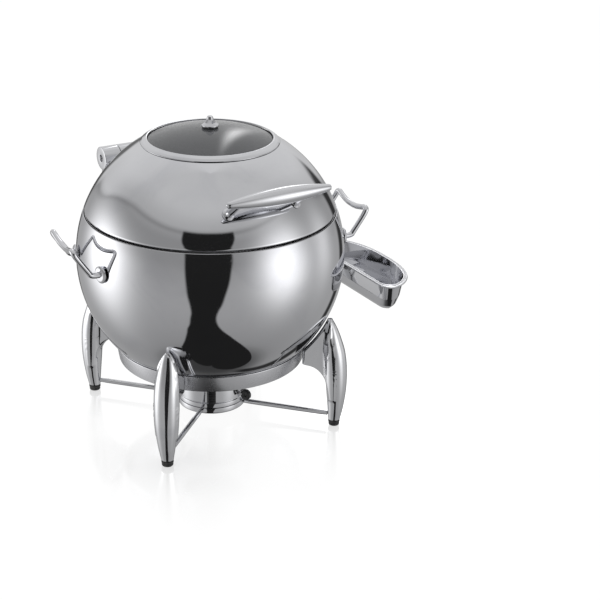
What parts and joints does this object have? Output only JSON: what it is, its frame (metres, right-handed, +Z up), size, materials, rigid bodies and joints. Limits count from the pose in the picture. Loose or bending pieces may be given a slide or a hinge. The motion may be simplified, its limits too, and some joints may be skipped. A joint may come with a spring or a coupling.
{
  "type": "soup kettle",
  "caption": "Ball-shaped mirror steel buffet soup kettle with a hinged windowed lid, side handles and a spoon dish, on a legged stand over a fuel burner.",
  "frame": {"origin": "middle of the whole kettle's footprint, on the surface it stands on", "axes": "+Z up, the lid handle faces -Y, the lid hinge is at +Y, the spoon dish is at +X"},
  "size_m": [0.5022, 0.4002, 0.4452],
  "materials": {
    "mirror_steel": "mirror polished stainless steel",
    "cast_steel": "polished casting",
    "satin_steel": "satin stainless steel",
    "black_rubber": "matt black rubber",
    "black_plastic": "heat-proof black phenolic",
    "tin_can": "plain tinplate",
    "smoked_glass": "tempered glass, grey over the dark inside"
  },
  "bodies": {
    "stand": {"base_ring": "mirror_steel", "leg_front_left": "cast_steel", "leg_front_right": "cast_steel", "leg_rear_left": "cast_steel", "leg_rear_right": "cast_steel", "foot_pad_front_left": "black_rubber", "foot_pad_front_right": "black_rubber", "foot_pad_rear_left": "black_rubber", "foot_pad_rear_right": "black_rubber", "cross_rod_front_left": "cast_steel", "cross_rod_front_right": "cast_steel", "cross_rod_rear_left": "cast_steel", "cross_rod_rear_right": "cast_steel", "leg_screw_front_left": "satin_steel", "leg_screw_front_right": "satin_steel", "leg_screw_rear_left": "satin_steel", "leg_screw_rear_right": "satin_steel", "fuel_tray": "mirror_steel", "burner_housing": "mirror_steel", "fuel_can": "tin_can", "burner_grip": "black_plastic"},
    "damper": {"damper_ring": "satin_steel", "damper_knob": "black_plastic"},
    "kettle": {"lower_bowl": "mirror_steel", "bowl_rim": "satin_steel", "soup_insert": "satin_steel", "side_handle_left": "mirror_steel", "side_handle_right": "mirror_steel", "handle_boss_left_front": "mirror_steel", "handle_boss_left_rear": "mirror_steel", "handle_boss_right_front": "mirror_steel", "handle_boss_right_rear": "mirror_steel", "hinge_bracket_left": "mirror_steel", "hinge_bracket_right": "mirror_steel", "hinge_pin": "satin_steel", "bracket_screw_left": "satin_steel", "bracket_screw_right": "satin_steel", "dish_bracket": "satin_steel", "dish_screw_front": "satin_steel", "dish_screw_rear": "satin_steel"},
    "dish": {"drip_dish": "mirror_steel"},
    "lid": {"lid_shell": "mirror_steel", "window_ring": "mirror_steel", "window_gasket": "black_rubber", "window_glass": "smoked_glass", "lid_handle_grip": "mirror_steel", "lid_handle_post_left": "mirror_steel", "lid_handle_post_right": "mirror_steel", "hinge_barrel": "mirror_steel", "vent_washer": "black_rubber"},
    "vent": {"vent_knob": "mirror_steel", "vent_nut": "satin_steel"}
  },
  "joints": [
    {"name": "kettle_lift", "type": "slide", "parent": "stand", "child": "kettle", "axis": [0, 0, 1], "range_m": [0, 0.12]},
    {"name": "lid_hinge", "type": "hinge", "parent": "kettle", "child": "lid", "pos_m": [-0.02342, 0.1831, 0.342], "axis": [-1, 0, 0], "range_deg": [0, 95]},
    {"name": "vent_turn", "type": "hinge", "parent": "lid", "child": "vent", "pos_m": [-0.02342, -0.0089, 0.44], "axis": [0, 0, 1], "range_deg": [0, 90]},
    {"name": "damper_turn", "type": "hinge", "parent": "stand", "child": "damper", "pos_m": [-0.02342, -0.0089, 0.038], "axis": [0, 0, 1], "range_deg": [0, 45]},
    {"name": "dish_lift", "type": "slide", "parent": "kettle", "child": "dish", "axis": [0, 0, 1], "range_m": [0, 0.04]}
  ]
}
